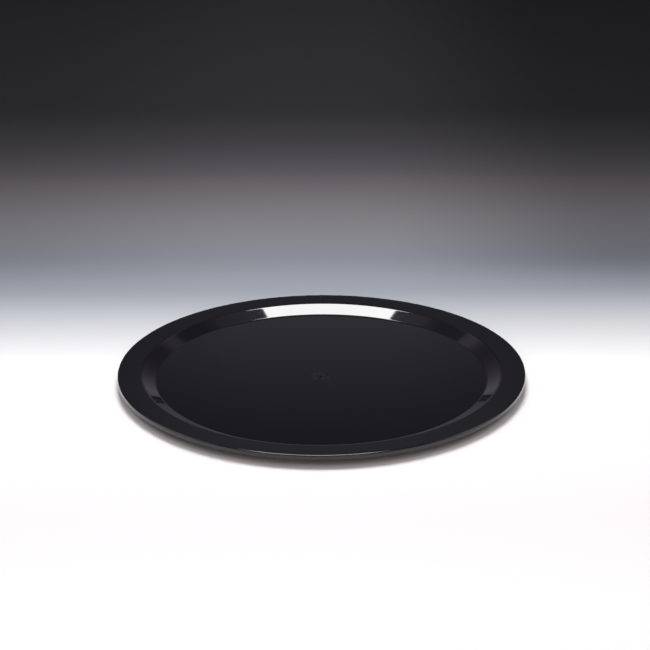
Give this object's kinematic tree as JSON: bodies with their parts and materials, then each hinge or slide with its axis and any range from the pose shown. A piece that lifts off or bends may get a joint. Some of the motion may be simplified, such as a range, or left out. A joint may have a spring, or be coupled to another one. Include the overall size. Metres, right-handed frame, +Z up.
{
  "type": "serving tray",
  "caption": "Round gloss-black catering tray, moulded in one piece: flat well, sloped wall, wide rim with a down-turned lip and a low foot ring.",
  "frame": {"origin": "on the table at the tray's axis: the centre of the foot ring's rest face, at the bottom of the bounding box", "axes": "+Z up along the tray's axis of revolution; X and Y lie in the table plane, and +X passes through one of the ejector prints under the floor"},
  "size_m": [0.4063, 0.4064, 0.0125],
  "materials": {
    "black_gloss_plastic": "black injection-moulded polystyrene, high gloss on top, satin underneath"
  },
  "bodies": {
    "root": {"tray": "black_gloss_plastic"}
  },
  "joints": []
}
